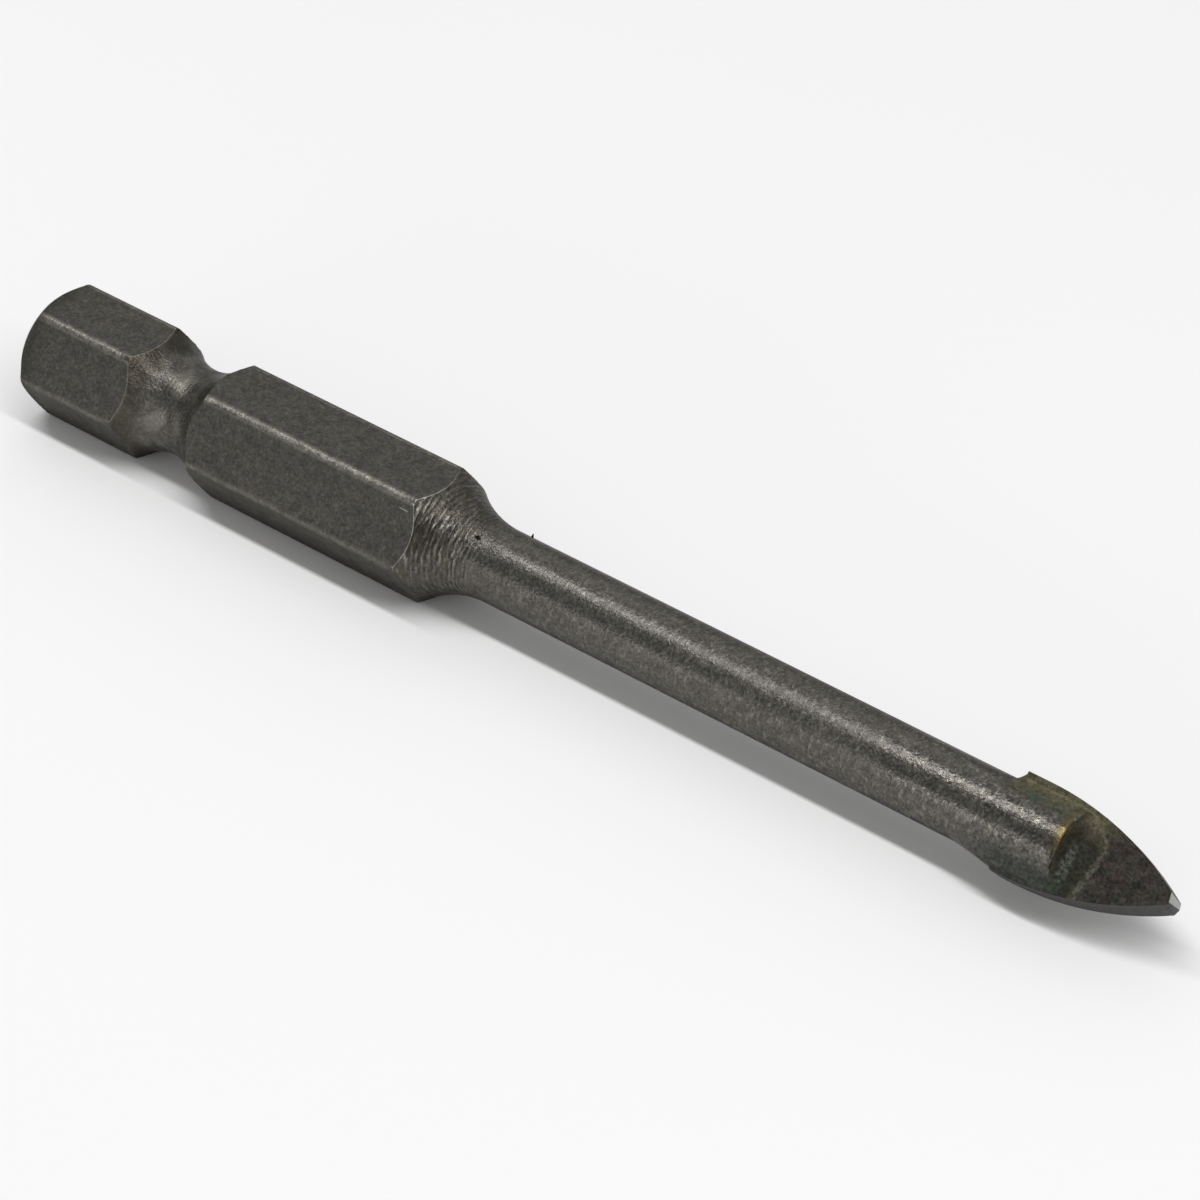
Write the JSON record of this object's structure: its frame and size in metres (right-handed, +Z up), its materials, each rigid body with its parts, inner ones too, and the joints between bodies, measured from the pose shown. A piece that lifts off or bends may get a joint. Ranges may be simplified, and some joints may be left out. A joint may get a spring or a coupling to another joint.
{
  "type": "glass and tile drill bit",
  "caption": "Spear-point drill bit for glass and tile: a hexagon quick-change drive with a ball groove, a hollow neck, a round shank and a carbide plate brazed into its slotted end.",
  "frame": {"origin": "middle of the flat back end face, on the drilling axis", "axes": "+X along the drilling axis from the back end face to the point, +Z up with one flat of the hexagon facing down, +Y to the left when looking along +X"},
  "size_m": [0.0695, 0.0072, 0.0064],
  "materials": {
    "steel": "dark warm grey, blasted, with turning marks on the neck and fine streaks on the round shank",
    "carbide": "dark grey sintered plate with ground lips, a bright point and heat tints near the joint",
    "braze": "dull brass colour with olive and brown flux stains"
  },
  "bodies": {
    "root": {"shank": "steel", "carbide_tip": "carbide", "braze_filler": "braze"}
  },
  "joints": []
}
